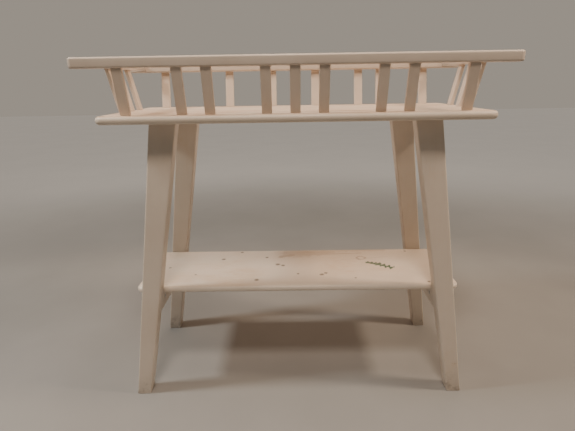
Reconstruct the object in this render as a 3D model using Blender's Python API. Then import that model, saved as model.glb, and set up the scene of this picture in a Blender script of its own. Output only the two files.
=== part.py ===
"""Changing table: a slatted tray on four splayed legs, with a low shelf.

Metres, +Z up, front towards -Y. The origin is on the floor under the middle of the table.
Every wooden piece, screw, cam and dowel is one object named after the piece.
"""
import bpy
import bmesh
from math import radians, tan
from mathutils import Matrix, Vector

# ---------------------------------------------------------------- driving dimensions
GAP = 0.0003                # play between pieces that touch

TOP_LENGTH = 1.050          # tabletop
TOP_DEPTH = 0.475
TOP_THICK = 0.022
TOP_HEIGHT = 0.870          # floor to the tabletop's upper face
TOP_CORNER = 0.024          # radius of its corners, seen from above

GALLERY_HEIGHT = 0.145      # tabletop to the top of the rails
LEAN = radians(12.4)        # outward lean of the slats
SLAT_WIDTH = 0.027
SLAT_THICK = 0.012
SLAT_PITCH = 0.075          # one step of the slat pattern
LONG_PATTERN = (-6, -4, -3, -1, 0, 1, 3, 4, 6)   # steps of the front and rear slats
END_PATTERN = (-1, 0, 1)                         # steps of the side slats
LONG_INSET = 0.0337         # tabletop's long edge to the outer foot of a slat
END_INSET = 0.015           # tabletop's end to the outer foot of a slat
SLAT_EASE = 0.0018          # rounding of a slat's long edges

RAIL_WIDTH = 0.034
LONG_RAIL_HEIGHT = 0.027
END_RAIL_HEIGHT = 0.022
RAIL_LIP = 0.006            # rail's outer face beyond the slats' outer face
RAIL_ROUND = 0.0055         # rounding of the rails' long edges
RAIL_HORN = 0.027           # long rail beyond the side rail
RAIL_END_ROUND = 0.013      # radius of a long rail's ends, seen from above

LEG_THICK = 0.0448
LEG_TOP_WIDTH = 0.074
LEG_FOOT_WIDTH = 0.042
LEG_TOP_OUT = 0.401         # middle of the table to the leg's outer edge, at its top
LEG_FOOT_OUT = 0.5155       # the same on the floor
LEG_TOP_FRONT = 0.1724      # middle of the table to the leg's front face, at its top
LEG_FOOT_FRONT = 0.2155     # the same on the floor
LEG_EASE = 0.003

SHELF_LENGTH = 1.006
SHELF_THICK = 0.020
SHELF_HEIGHT = 0.343        # floor to the shelf's upper face
SHELF_CORNER = 0.020
SHELF_TO_LEG = 0.0026       # shelf's long edge to the legs

STRETCHER_THICK = 0.028
STRETCHER_HEIGHT = 0.053
STRETCHER_SETBACK = 0.003   # leg's inner edge to the stretcher's inner face
STRETCHER_EASE = 0.002

CAM_DIAMETER = 0.012
CAM_DEPTH = 0.0125
CAM_RECESS = 0.0012         # cam's face below the wood
CAM_FROM_END = 0.043
BOLT_DIAMETER = 0.006
BOLT_HEAD = 0.0072
BOLT_IN_LEG = 0.026
BOLT_IN_CAM = 0.0035

DOWEL_SCREW_DIAMETER = 0.007
DOWEL_SCREW_IN_TOP = 0.014
DOWEL_SCREW_IN_LEG = 0.036
DOWEL_SCREW_SPACING = 0.034

SHELF_SCREW_DIAMETER = 0.0042
SHELF_SCREW_HEAD = 0.0084
SHELF_SCREW_LENGTH = 0.042
SHELF_SCREW_IN_SHELF = 0.013
SHELF_SCREW_FROM_MIDDLE = 0.062

RAIL_DOWEL_DIAMETER = 0.008
RAIL_DOWEL_LENGTH = 0.036

# ---------------------------------------------------------------- worked-out places
TOP_UNDER = TOP_HEIGHT - TOP_THICK
RAIL_TOP = TOP_HEIGHT + GALLERY_HEIGHT
LONG_SLAT_RISE = GALLERY_HEIGHT - LONG_RAIL_HEIGHT
END_SLAT_RISE = GALLERY_HEIGHT - END_RAIL_HEIGHT
LONG_FOOT = TOP_DEPTH / 2 - LONG_INSET
END_FOOT = TOP_LENGTH / 2 - END_INSET
LONG_RAIL_OUT = LONG_FOOT + tan(LEAN) * LONG_SLAT_RISE + RAIL_LIP
END_RAIL_OUT = END_FOOT + tan(LEAN) * END_SLAT_RISE + RAIL_LIP
LONG_RAIL_IN = LONG_RAIL_OUT - RAIL_WIDTH
SHELF_UNDER = SHELF_HEIGHT - SHELF_THICK
STRETCHER_FOOT = SHELF_UNDER - GAP - STRETCHER_HEIGHT
STRETCHER_AXIS = STRETCHER_FOOT + STRETCHER_HEIGHT / 2
SIDES = (("left", -1), ("right", 1))
ENDS = (("front", -1), ("rear", 1))


def leg_out(height):
    """Distance from the middle to a leg's outer edge at a height."""
    return LEG_FOOT_OUT + (LEG_TOP_OUT - LEG_FOOT_OUT) * height / TOP_UNDER


def leg_in(height):
    """Distance from the middle to a leg's inner edge at a height."""
    width = LEG_FOOT_WIDTH + (LEG_TOP_WIDTH - LEG_FOOT_WIDTH) * height / TOP_UNDER
    return leg_out(height) - width


def leg_front(height):
    """Distance from the middle to a leg's outward face at a height."""
    return LEG_FOOT_FRONT + (LEG_TOP_FRONT - LEG_FOOT_FRONT) * height / TOP_UNDER


def leg_back(height):
    """Distance from the middle to a leg's inward face at a height."""
    return leg_front(height) - LEG_THICK


STRETCHER_IN = leg_in(STRETCHER_AXIS) + STRETCHER_SETBACK
STRETCHER_MIDDLE = STRETCHER_IN + STRETCHER_THICK / 2
SHELF_DEPTH = 2 * (leg_back(SHELF_HEIGHT) - SHELF_TO_LEG)
CAM_Y = leg_back(STRETCHER_AXIS) - CAM_FROM_END


# ---------------------------------------------------------------- scene and materials
def clear_scene():
    for old in list(bpy.data.objects):
        bpy.data.objects.remove(old, do_unlink=True)


def make_material(name, colour, roughness, metallic=0.0):
    material = bpy.data.materials.new(name)
    material.use_nodes = True
    shader = material.node_tree.nodes["Principled BSDF"]
    shader.inputs["Base Color"].default_value = (*colour, 1.0)
    shader.inputs["Roughness"].default_value = roughness
    shader.inputs["Metallic"].default_value = metallic
    return material


def add_object(name, shape, material):
    """Turn a bmesh into a scene object with its material."""
    mesh = bpy.data.meshes.new(name)
    bmesh.ops.recalc_face_normals(shape, faces=shape.faces)
    if shape.calc_volume(signed=True) < 0:
        bmesh.ops.reverse_faces(shape, faces=shape.faces)
    shape.to_mesh(mesh)
    shape.free()
    mesh.materials.append(material)
    made = bpy.data.objects.new(name, mesh)
    bpy.context.collection.objects.link(made)
    return made


# ---------------------------------------------------------------- shapes
def upright_edges(shape):
    """Edges that run mostly along Z."""
    return [e for e in shape.edges if abs((e.verts[0].co - e.verts[1].co).normalized().z) > 0.7]


def rim_edges(shape):
    """Edges of the upper and lower outlines of a flat slab."""
    high = max(v.co.z for v in shape.verts)
    low = min(v.co.z for v in shape.verts)
    rims = []
    for edge in shape.edges:
        heights = [v.co.z for v in edge.verts]
        if min(heights) > high - 1e-5 or max(heights) < low + 1e-5:
            rims.append(edge)
    return rims


def round_edges(shape, edges, radius, steps):
    bmesh.ops.bevel(shape, geom=edges, offset=radius, offset_type="OFFSET", segments=steps,
                    profile=0.5, affect="EDGES", clamp_overlap=True)


def slab(size, centre, corner, edge_round):
    """Flat board with rounded corners in plan and rounded upper and lower edges."""
    shape = bmesh.new()
    place = Matrix.Translation(centre) @ Matrix.Diagonal((*size, 1.0))
    bmesh.ops.create_cube(shape, size=1.0, matrix=place)
    round_edges(shape, upright_edges(shape), corner, 6)
    round_edges(shape, rim_edges(shape), edge_round, 5)
    return shape


def frustum(lower, upper, ease):
    """Four-sided bar between two rectangles, each (x0, x1, y0, y1, z), long edges eased."""
    shape = bmesh.new()
    rings = []
    for x0, x1, y0, y1, z in (lower, upper):
        corners = ((x0, y0), (x1, y0), (x1, y1), (x0, y1))
        rings.append([shape.verts.new((x, y, z)) for x, y in corners])
    shape.faces.new(rings[0][::-1])
    shape.faces.new(rings[1])
    for i in range(4):
        j = (i + 1) % 4
        shape.faces.new((rings[0][i], rings[0][j], rings[1][j], rings[1][i]))
    shape.edges.ensure_lookup_table()
    round_edges(shape, upright_edges(shape), ease, 2)
    return shape


def turned(profile, steps=16):
    """Solid of revolution about Z from (radius, z) points, lowest first, with flat ends."""
    shape = bmesh.new()
    points = [shape.verts.new((r, 0.0, z)) for r, z in profile]
    line = [shape.edges.new(pair) for pair in zip(points, points[1:])]
    bmesh.ops.spin(shape, geom=points + line, cent=(0, 0, 0), axis=(0, 0, 1), angle=radians(360),
                   steps=steps, use_merge=True)
    bmesh.ops.remove_doubles(shape, verts=shape.verts, dist=1e-6)
    bmesh.ops.holes_fill(shape, edges=shape.edges, sides=0)
    return shape


def aim(direction, place):
    """Matrix that turns +Z to a direction and moves to a place."""
    turn = Vector(direction).to_track_quat("Z", "Y").to_matrix().to_4x4()
    return Matrix.Translation(place) @ turn


def rod(start, direction, length, diameter, steps=16):
    """Plain cylinder from a start point along a direction."""
    shape = turned(((diameter / 2, 0), (diameter / 2, length)), steps)
    shape.transform(aim(direction, start))
    return shape


def cut(target, shape):
    """Take a shape away from an object."""
    cutter = add_object("cut_" + target.name, shape, target.data.materials[0])
    cutter.hide_render = True
    cutter.display_type = "WIRE"
    boolean = target.modifiers.new("cut", "BOOLEAN")
    boolean.operation = "DIFFERENCE"
    boolean.object = cutter


def bore(target, start, direction, length, diameter):
    """Drill a hole; a hole from a face starts a little outside it."""
    back = Vector(start) - Vector(direction) * 0.002
    cut(target, rod(back, direction, length + 0.002, diameter))


# ---------------------------------------------------------------- boards
def make_top(paint):
    centre = (0, 0, TOP_HEIGHT - TOP_THICK / 2)
    shape = slab((TOP_LENGTH, TOP_DEPTH, TOP_THICK), centre, TOP_CORNER, TOP_THICK / 2 - 0.0008)
    return add_object("tabletop", shape, paint)


def make_shelf(paint):
    centre = (0, 0, SHELF_HEIGHT - SHELF_THICK / 2)
    shape = slab((SHELF_LENGTH, SHELF_DEPTH, SHELF_THICK), centre, SHELF_CORNER,
                 SHELF_THICK / 2 - 0.0008)
    return add_object("shelf", shape, paint)


# ---------------------------------------------------------------- legs and stretchers
def span(side, inner, outer):
    """Ordered limits on one side of the middle."""
    return sorted((side * inner, side * outer))


def make_leg(end_name, end, side_name, side, paint):
    rings = []
    for height, z in ((0.0, 0.0), (TOP_UNDER, TOP_UNDER - GAP)):
        xs = span(side, leg_in(height), leg_out(height))
        ys = span(end, leg_back(height), leg_front(height))
        rings.append((*xs, *ys, z))
    return add_object(f"leg_{end_name}_{side_name}", frustum(*rings, LEG_EASE), paint)


def make_stretcher(side_name, side, paint):
    rings = []
    for z in (STRETCHER_FOOT, STRETCHER_FOOT + STRETCHER_HEIGHT):
        reach = leg_back(z) - GAP
        xs = span(side, STRETCHER_IN, STRETCHER_IN + STRETCHER_THICK)
        rings.append((*xs, -reach, reach, z))
    return add_object(f"stretcher_{side_name}", frustum(*rings, STRETCHER_EASE), paint)


# ---------------------------------------------------------------- gallery
def long_slat(name, x, end, paint):
    rings = []
    for height in (GAP, LONG_SLAT_RISE - GAP):
        outer = LONG_FOOT + tan(LEAN) * height
        ys = span(end, outer - SLAT_THICK, outer)
        rings.append((x - SLAT_WIDTH / 2, x + SLAT_WIDTH / 2, *ys, TOP_HEIGHT + height))
    return add_object(name, frustum(*rings, SLAT_EASE), paint)


def end_slat(name, y, side, paint):
    rings = []
    for height in (GAP, END_SLAT_RISE - GAP):
        outer = END_FOOT + tan(LEAN) * height
        xs = span(side, outer - SLAT_THICK, outer)
        rings.append((*xs, y - SLAT_WIDTH / 2, y + SLAT_WIDTH / 2, TOP_HEIGHT + height))
    return add_object(name, frustum(*rings, SLAT_EASE), paint)


def long_rail(end_name, end, paint):
    middle = LONG_RAIL_OUT - RAIL_WIDTH / 2
    size = (2 * (END_RAIL_OUT + RAIL_HORN), RAIL_WIDTH, LONG_RAIL_HEIGHT)
    centre = (0, end * middle, RAIL_TOP - LONG_RAIL_HEIGHT / 2)
    return add_object(f"rail_{end_name}", slab(size, centre, RAIL_END_ROUND, RAIL_ROUND), paint)


def end_rail(side_name, side, paint):
    """Side rail between the long rails: square ends, rounded long edges."""
    shape = bmesh.new()
    size = (RAIL_WIDTH, 2 * (LONG_RAIL_IN - GAP), END_RAIL_HEIGHT)
    centre = (side * (END_RAIL_OUT - RAIL_WIDTH / 2), 0, RAIL_TOP - END_RAIL_HEIGHT / 2)
    place = Matrix.Translation(centre) @ Matrix.Diagonal((*size, 1.0))
    bmesh.ops.create_cube(shape, size=1.0, matrix=place)
    along = [e for e in shape.edges if abs(e.verts[0].co.y - e.verts[1].co.y) > size[1] / 2]
    round_edges(shape, along, RAIL_ROUND, 5)
    return add_object(f"rail_{side_name}", shape, paint)


def make_gallery(paint):
    rails = {name: long_rail(name, end, paint) for name, end in ENDS}
    rails.update({name: end_rail(name, side, paint) for name, side in SIDES})
    for end_name, end in ENDS:
        for i, step in enumerate(LONG_PATTERN, 1):
            long_slat(f"slat_{end_name}_{i}", step * SLAT_PITCH, end, paint)
    for side_name, side in SIDES:
        for i, step in enumerate(END_PATTERN, 1):
            end_slat(f"slat_{side_name}_{i}", step * SLAT_PITCH, side, paint)
    return rails


# ---------------------------------------------------------------- fasteners
def fit_cam(end_name, end, side_name, side, leg, stretcher, steel):
    """Cam in the stretcher's inner face and the bolt that joins it to the leg."""
    tag = f"{end_name}_{side_name}"
    face = Vector((side * STRETCHER_IN, end * CAM_Y, STRETCHER_AXIS))
    bore(stretcher, face, (side, 0, 0), CAM_DEPTH, CAM_DIAMETER)
    cam_length = CAM_DEPTH - CAM_RECESS - GAP
    cam_radius = CAM_DIAMETER / 2 - GAP
    cam = add_object(f"cam_{tag}", rod(face + Vector((side * CAM_RECESS, 0, 0)), (side, 0, 0),
                                       cam_length, 2 * cam_radius, 24), steel)
    axis_x = side * (STRETCHER_IN + CAM_RECESS + cam_length / 2)
    socket = Vector((axis_x, end * (CAM_Y + cam_radius), STRETCHER_AXIS))
    bore(cam, socket, (0, -end, 0), BOLT_IN_CAM + GAP, BOLT_HEAD + 2 * GAP)
    leg_face = leg_back(STRETCHER_AXIS)
    mouth = Vector((axis_x, end * (leg_face + 0.004), STRETCHER_AXIS))
    bore(stretcher, mouth, (0, -end, 0), leg_face + 0.004 - CAM_Y, BOLT_HEAD + 2 * GAP)
    entry = Vector((axis_x, end * (leg_face - 0.004), STRETCHER_AXIS))
    bore(leg, entry, (0, end, 0), BOLT_IN_LEG + 0.004 + GAP, BOLT_DIAMETER + 2 * GAP)
    reach = leg_face + BOLT_IN_LEG - (CAM_Y + cam_radius - BOLT_IN_CAM)
    head = BOLT_HEAD / 2
    shank = BOLT_DIAMETER / 2
    profile = ((head, 0), (head, 0.0025), (shank * 0.7, 0.0032), (shank * 0.7, 0.0075),
               (shank, 0.0085), (shank, reach - 0.003), (shank * 0.5, reach))
    bolt = turned(profile)
    bolt.transform(aim((0, end, 0), (axis_x, end * (CAM_Y + cam_radius - BOLT_IN_CAM),
                                     STRETCHER_AXIS)))
    add_object(f"cam_bolt_{tag}", bolt, steel)


def fit_dowel_screws(end_name, end, side_name, side, leg, top, steel):
    """Two double-ended screws between a leg's top and the tabletop's underside."""
    middle = side * (leg_in(TOP_UNDER) + leg_out(TOP_UNDER)) / 2
    y = end * (leg_front(TOP_UNDER) - LEG_THICK / 2)
    hole = DOWEL_SCREW_DIAMETER + 2 * GAP
    length = DOWEL_SCREW_IN_TOP + DOWEL_SCREW_IN_LEG
    radius = DOWEL_SCREW_DIAMETER / 2
    profile = ((radius * 0.4, 0), (radius, 0.005), (radius, length - 0.004), (radius * 0.4, length))
    for number, offset in enumerate((-1, 1), 1):
        x = middle + offset * DOWEL_SCREW_SPACING / 2
        bore(top, (x, y, TOP_UNDER), (0, 0, 1), DOWEL_SCREW_IN_TOP + GAP, hole)
        bore(leg, (x, y, TOP_UNDER), (0, 0, -1), DOWEL_SCREW_IN_LEG + GAP, hole)
        screw = turned(profile)
        screw.transform(Matrix.Translation((x, y, TOP_UNDER - DOWEL_SCREW_IN_LEG)))
        add_object(f"dowel_screw_{end_name}_{side_name}_{number}", screw, steel)


def fit_shelf_screw(end_name, end, side_name, side, stretcher, shelf, steel):
    """Screw up through a stretcher into the shelf, its head deep in a counterbore."""
    x = side * (STRETCHER_MIDDLE + 0.006)
    y = end * SHELF_SCREW_FROM_MIDDLE
    tip = SHELF_UNDER + SHELF_SCREW_IN_SHELF
    seat = tip - SHELF_SCREW_LENGTH
    shank = SHELF_SCREW_DIAMETER / 2
    head = SHELF_SCREW_HEAD / 2
    bore(shelf, (x, y, SHELF_UNDER), (0, 0, 1), SHELF_SCREW_IN_SHELF + GAP, 2 * (shank + GAP))
    bore(stretcher, (x, y, seat), (0, 0, 1), SHELF_SCREW_LENGTH, 2 * (shank + GAP))
    bore(stretcher, (x, y, STRETCHER_FOOT), (0, 0, 1), seat - STRETCHER_FOOT + 0.0031, 2 * (head + GAP))
    profile = ((head, 0), (head, 0.0028), (shank, 0.0030), (shank, SHELF_SCREW_LENGTH - 0.005),
               (shank * 0.2, SHELF_SCREW_LENGTH))
    screw = turned(profile)
    screw.transform(Matrix.Translation((x, y, seat)))
    add_object(f"shelf_screw_{end_name}_{side_name}", screw, steel)


def fit_rail_dowel(end_name, end, side_name, side, rails, wood):
    """Wooden dowel across the joint of a side rail and a long rail."""
    x = side * (END_RAIL_OUT - RAIL_WIDTH / 2)
    z = RAIL_TOP - END_RAIL_HEIGHT / 2
    joint = end * LONG_RAIL_IN
    half = RAIL_DOWEL_LENGTH / 2
    hole = RAIL_DOWEL_DIAMETER + 2 * GAP
    bore(rails[end_name], (x, joint, z), (0, end, 0), half + GAP, hole)
    bore(rails[side_name], (x, joint, z), (0, -end, 0), half + GAP, hole)
    radius = RAIL_DOWEL_DIAMETER / 2
    profile = ((radius - 0.001, 0), (radius, 0.0015), (radius, 2 * half - 0.0015),
               (radius - 0.001, 2 * half))
    dowel = turned(profile)
    dowel.transform(aim((0, end, 0), (x, joint - end * half, z)))
    add_object(f"rail_dowel_{end_name}_{side_name}", dowel, wood)


# ---------------------------------------------------------------- the whole table
def build():
    clear_scene()
    paint = make_material("white_paint", (0.74, 0.69, 0.60), 0.42)
    steel = make_material("zinc_steel", (0.62, 0.61, 0.58), 0.35, 1.0)
    beech = make_material("beech", (0.70, 0.52, 0.34), 0.60)
    top = make_top(paint)
    shelf = make_shelf(paint)
    rails = make_gallery(paint)
    stretchers = {name: make_stretcher(name, side, paint) for name, side in SIDES}
    for end_name, end in ENDS:
        for side_name, side in SIDES:
            leg = make_leg(end_name, end, side_name, side, paint)
            stretcher = stretchers[side_name]
            fit_cam(end_name, end, side_name, side, leg, stretcher, steel)
            fit_dowel_screws(end_name, end, side_name, side, leg, top, steel)
            fit_shelf_screw(end_name, end, side_name, side, stretcher, shelf, steel)
            fit_rail_dowel(end_name, end, side_name, side, rails, beech)


build()
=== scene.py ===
"""Looks of a painted changing table: slatted tray, four splayed legs, low shelf.

Metres, +Z up, front towards -Y. Every piece rides on the one rigid body.
"""
from math import cos, pi, radians, sin

import bmesh
import bpy
from mathutils import Matrix, Vector


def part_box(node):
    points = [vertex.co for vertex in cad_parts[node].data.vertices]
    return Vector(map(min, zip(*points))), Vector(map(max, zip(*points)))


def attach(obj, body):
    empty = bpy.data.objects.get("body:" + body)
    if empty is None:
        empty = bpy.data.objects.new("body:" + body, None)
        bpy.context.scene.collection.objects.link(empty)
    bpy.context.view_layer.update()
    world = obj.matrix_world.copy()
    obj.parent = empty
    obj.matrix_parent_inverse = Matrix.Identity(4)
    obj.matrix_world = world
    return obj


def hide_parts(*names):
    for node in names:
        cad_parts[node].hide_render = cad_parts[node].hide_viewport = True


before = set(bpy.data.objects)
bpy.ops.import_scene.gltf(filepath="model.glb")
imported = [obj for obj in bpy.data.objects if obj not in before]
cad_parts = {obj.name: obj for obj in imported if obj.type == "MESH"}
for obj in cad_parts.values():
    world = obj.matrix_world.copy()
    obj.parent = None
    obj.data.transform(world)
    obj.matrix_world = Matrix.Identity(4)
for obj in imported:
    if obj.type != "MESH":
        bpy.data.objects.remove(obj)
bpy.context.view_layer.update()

# ---------------------------------------------------------------- sizes read from the frame
SIDES = (("left", -1), ("right", 1))
ENDS = (("front", -1), ("rear", 1))


def low(node):
    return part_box(node)[0]


def high(node):
    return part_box(node)[1]


def middle_of(node):
    return (low(node) + high(node)) / 2


TOP_UPPER = high("tabletop").z
TOP_LOWER = low("tabletop").z
SHELF_UPPER = high("shelf").z
SHELF_LOWER = low("shelf").z

# ---------------------------------------------------------------- sizes the boxes don't give
BOARD_CORNER = 0.024        # tabletop corners, seen from above
SHELF_CORNER = 0.020
BOARD_FLAT = 0.0008         # half of the flat left in the middle of a rounded edge
RAIL_ROUND = 0.0055
RAIL_END_ROUND = 0.013
LEG_THICK = 0.0448
LEG_TOP_WIDTH = 0.074
LEG_FOOT_WIDTH = 0.042
LEG_EASE = 0.004
STRETCHER_EASE = 0.002
SLAT_WIDTH = 0.027
SLAT_THICK = 0.012
SLAT_EASE = 0.0018
CAM_HOLE = 0.012
CAM_HOLE_DEPTH = 0.0125
CAM_HOLE_EASE = 0.0007      # chamfer round the mouth
SCREW_HOLE = 0.009
SCREW_HOLE_DEPTH = 0.024
SCREW_HOLE_EASE = 0.0006

ARC_STEPS = 5               # faces across one eased edge of a bar
END_STEPS = 3               # faces across an eased end of a bar
FLAT_MARGIN = 0.0022        # flat strip beside an eased edge
CORNER_STEPS = 10           # faces round a board's corner, seen from above
EDGE_STEPS = 8              # faces over half of a board's rounded edge
SHARPEST_CORNER = 0.0006
STRETCHER_SPARE = 0.0023    # how far a stretcher's top end passes the shelf's long edge
CUT_CLEAR = 0.004           # how far a cutter stands out of the wood


# ---------------------------------------------------------------- node helpers
def feed(tree, socket, value):
    """Link another socket in, or set a plain value."""
    if isinstance(value, bpy.types.NodeSocket):
        tree.links.new(value, socket)
    else:
        socket.default_value = value


def number(tree, operation, *values):
    node = tree.nodes.new("ShaderNodeMath")
    node.operation = operation
    for socket, value in zip(node.inputs, values):
        feed(tree, socket, value)
    return node.outputs[0]


def add_node(tree, kind, **values):
    """New node with its input sockets fed by name; an underscore stands for a space."""
    node = tree.nodes.new(kind)
    for key, value in values.items():
        feed(tree, node.inputs[key.replace("_", " ")], value)
    return node


def split(tree, vector):
    node = tree.nodes.new("ShaderNodeSeparateXYZ")
    tree.links.new(vector, node.inputs[0])
    return node.outputs


def join(tree, x, y, z):
    node = tree.nodes.new("ShaderNodeCombineXYZ")
    for socket, value in zip(node.inputs, (x, y, z)):
        feed(tree, socket, value)
    return node.outputs[0]


# ---------------------------------------------------------------- geometry trees
VECTOR, REAL, MATERIAL = "NodeSocketVector", "NodeSocketFloat", "NodeSocketMaterial"
BAR_INPUTS = (("Foot", VECTOR), ("Top", VECTOR), ("Foot Size", VECTOR), ("Top Size", VECTOR),
              ("Edge Ease", REAL), ("End Ease", REAL))


def open_tree(name, inputs):
    """Empty geometry tree with named inputs; gives the tree and its input sockets."""
    tree = bpy.data.node_groups.new(name, "GeometryNodeTree")
    face = tree.interface
    face.new_socket("Geometry", in_out="INPUT", socket_type="NodeSocketGeometry")
    for label, kind in inputs:
        face.new_socket(label, in_out="INPUT", socket_type=kind)
    face.new_socket("Geometry", in_out="OUTPUT", socket_type="NodeSocketGeometry")
    return tree, tree.nodes.new("NodeGroupInput").outputs


def close_tree(tree, geometry):
    tree.links.new(geometry, tree.nodes.new("NodeGroupOutput").inputs[0])
    return tree


def dressed(tree, geometry, material):
    """Realize Instances and Set Material: the end of every tree that a piece uses."""
    real = add_node(tree, "GeometryNodeRealizeInstances", Geometry=geometry)
    painted = add_node(tree, "GeometryNodeSetMaterial", Geometry=real.outputs[0], Material=material)
    return close_tree(tree, painted.outputs[0])


def keep_value(tree, geometry, name, value, domain="POINT"):
    node = tree.nodes.new("GeometryNodeStoreNamedAttribute")
    node.data_type = "FLOAT"
    node.domain = domain
    tree.links.new(geometry, node.inputs["Geometry"])
    node.inputs["Name"].default_value = name
    feed(tree, node.inputs["Value"], value)
    return node.outputs[0]


def blend_between(tree, first, second, share):
    """Vector between two vectors."""
    node = tree.nodes.new("ShaderNodeMix")
    node.data_type = "VECTOR"
    node.clamp_factor = False
    feed(tree, node.inputs["Factor"], share)
    feed(tree, [s for s in node.inputs if s.identifier == "A_Vector"][0], first)
    feed(tree, [s for s in node.inputs if s.identifier == "B_Vector"][0], second)
    return [s for s in node.outputs if s.identifier == "Result_Vector"][0]


def bar_tree():
    """Bar between two level sections, with its long edges and its two ends eased.

    Each corner of the section is an arc with a flat strip on either side of it. The strips
    keep the broad faces flat, and the value "edge" is 1 on the arcs and 0 on the faces.
    """
    tree, given = open_tree("tapered bar", BAR_INPUTS)
    steps_along = 12
    per_corner = ARC_STEPS + 3
    around = 4 * per_corner
    rings = steps_along + 2 * END_STEPS
    tube = tree.nodes.new("GeometryNodeMeshCylinder")
    tube.fill_type = "NGON"
    for label, value in (("Vertices", around), ("Side Segments", rings), ("Radius", 1.0),
                         ("Depth", 1.0)):
        tube.inputs[label].default_value = value
    x, y, z = split(tree, tree.nodes.new("GeometryNodeInputPosition").outputs[0])

    turn = number(tree, "FRACT", number(tree, "DIVIDE", number(tree, "ARCTAN2", y, x), 2 * pi))
    place = number(tree, "MODULO", number(tree, "ROUND", number(tree, "MULTIPLY", turn, around)),
                   around)
    corner = number(tree, "FLOOR", number(tree, "DIVIDE", number(tree, "ADD", place, 0.01),
                                          per_corner))
    step = number(tree, "SUBTRACT", place, number(tree, "MULTIPLY", corner, per_corner))
    before = number(tree, "LESS_THAN", step, 0.5)
    after = number(tree, "GREATER_THAN", step, ARC_STEPS + 1.5)
    on_arc = number(tree, "SUBTRACT", 1.0, number(tree, "ADD", before, after))
    arc = number(tree, "DIVIDE", number(tree, "SUBTRACT", step, 1.0), ARC_STEPS)
    arc = number(tree, "MINIMUM", number(tree, "MAXIMUM", arc, 0.0), 1.0)
    angle = number(tree, "MULTIPLY", number(tree, "ADD", corner, arc), pi / 2)
    middle = number(tree, "MULTIPLY", number(tree, "ADD", corner, 0.5), pi / 2)
    strip = number(tree, "MULTIPLY", number(tree, "SUBTRACT", after, before), FLAT_MARGIN)

    ring = number(tree, "ROUND", number(tree, "MULTIPLY", number(tree, "ADD", z, 0.5), rings))
    up_from_foot = number(tree, "MINIMUM", number(tree, "DIVIDE", ring, END_STEPS), 1.0)
    down_from_top = number(tree, "MINIMUM", number(
        tree, "DIVIDE", number(tree, "SUBTRACT", rings, ring), END_STEPS), 1.0)
    foot_angle = number(tree, "MULTIPLY", up_from_foot, pi / 2)
    top_angle = number(tree, "MULTIPLY", down_from_top, pi / 2)
    shaft = number(tree, "DIVIDE", number(tree, "SUBTRACT", ring, END_STEPS), steps_along)
    shaft = number(tree, "MINIMUM", number(tree, "MAXIMUM", shaft, 0.0), 1.0)
    end_ease = given["End Ease"]
    length = number(tree, "SUBTRACT", split(tree, given["Top"])[2], split(tree, given["Foot"])[2])
    straight = number(tree, "SUBTRACT", length, number(tree, "MULTIPLY", end_ease, 2.0))
    height = number(tree, "MULTIPLY", end_ease, number(
        tree, "ADD", number(tree, "SUBTRACT", 1.0, number(tree, "COSINE", foot_angle)),
        number(tree, "COSINE", top_angle)))
    height = number(tree, "ADD", height, number(tree, "MULTIPLY", shaft, straight))
    share = number(tree, "DIVIDE", height, length)
    pinch = number(tree, "MULTIPLY", end_ease, number(
        tree, "SUBTRACT", 2.0, number(tree, "ADD", number(tree, "SINE", foot_angle),
                                      number(tree, "SINE", top_angle))))

    centre = split(tree, blend_between(tree, given["Foot"], given["Top"], share))
    size = split(tree, blend_between(tree, given["Foot Size"], given["Top Size"], share))
    ease = given["Edge Ease"]
    inset = number(tree, "ADD", ease, pinch)
    ends = []
    for axis, (way, along) in enumerate((("COSINE", "SINE"), ("SINE", "COSINE"))):
        hand = number(tree, "SIGN", number(tree, way, middle))
        half = number(tree, "SUBTRACT", number(tree, "DIVIDE", size[axis], 2.0), inset)
        reach = number(tree, "MULTIPLY", hand, half)
        reach = number(tree, "ADD", reach, number(tree, "MULTIPLY", ease,
                                                  number(tree, way, angle)))
        slide = number(tree, "MULTIPLY", strip, number(tree, along, angle))
        reach = number(tree, "SUBTRACT" if axis == 0 else "ADD", reach, slide)
        ends.append(number(tree, "ADD", centre[axis], reach))
    shaped = add_node(tree, "GeometryNodeSetPosition", Geometry=tube.outputs["Mesh"],
                      Position=join(tree, ends[0], ends[1], centre[2])).outputs[0]
    at_end = number(tree, "SUBTRACT", 1.0, number(tree, "MULTIPLY", number(
        tree, "GREATER_THAN", up_from_foot, 0.99), number(
        tree, "GREATER_THAN", down_from_top, 0.99)))
    shaped = keep_value(tree, shaped, "edge", number(tree, "MAXIMUM", on_arc, at_end))
    shaped = keep_value(tree, shaped, "along", share)
    smooth = tree.nodes.new("GeometryNodeSetShadeSmooth")
    smooth.domain = "FACE"
    tree.links.new(shaped, smooth.inputs["Geometry"])
    tree.links.new(tube.outputs["Side"], smooth.inputs["Selection"])
    return close_tree(tree, smooth.outputs[0])


def put_bar(tree, bar, **sizes):
    node = tree.nodes.new("GeometryNodeGroup")
    node.node_tree = bar
    for key, value in sizes.items():
        feed(tree, node.inputs[key.replace("_", " ")], value)
    return node.outputs[0]


def single_bar_tree(bar):
    """One leg or stretcher."""
    tree, given = open_tree("one bar", (*BAR_INPUTS, ("Paint", MATERIAL)))
    made = put_bar(tree, bar, **{label: given[label] for label, _ in BAR_INPUTS})
    return dressed(tree, made, given["Paint"])


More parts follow.
